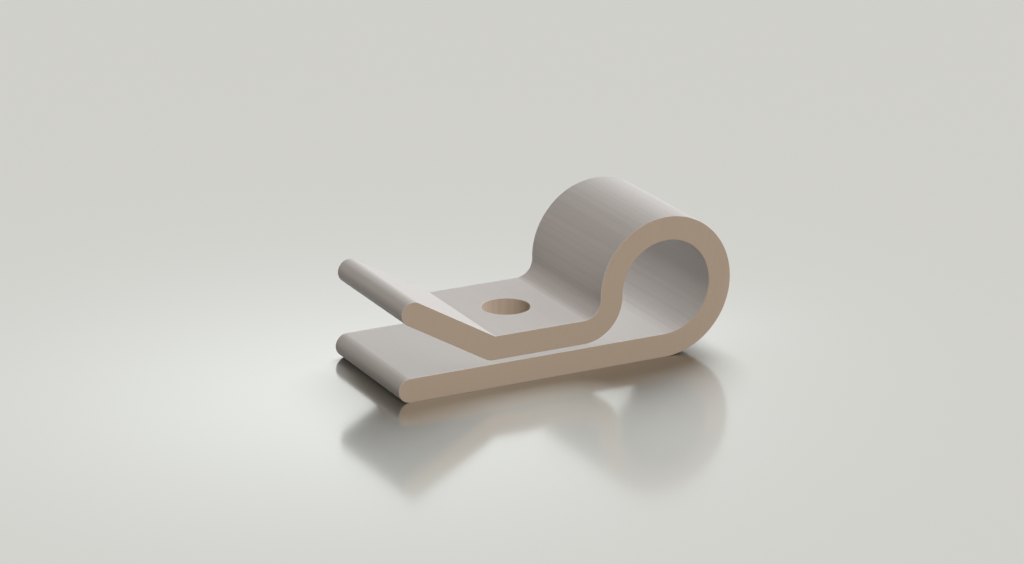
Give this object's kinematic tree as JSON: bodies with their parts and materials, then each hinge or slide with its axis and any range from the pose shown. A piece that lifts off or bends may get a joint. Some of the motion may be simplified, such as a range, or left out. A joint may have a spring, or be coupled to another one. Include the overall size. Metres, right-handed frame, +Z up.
{
  "type": "cable clip",
  "caption": "One-piece springy clip: a loop wraps round a cable, and a screw through both of its flat legs holds it to a surface. A flared tip lifts the top leg.",
  "frame": {"origin": "where the axis of the screw hole meets the base face, which lies in the plane z = 0", "axes": "+Z up from the surface that the clip is screwed to, along the screw hole; +X along the strip, from the screw hole towards the cable loop; Y along the cable and across the strip"},
  "size_m": [0.03, 0.012, 0.012],
  "materials": {
    "clip_plastic": "satin"
  },
  "bodies": {
    "root": {"cable_clip": "clip_plastic"}
  },
  "joints": []
}
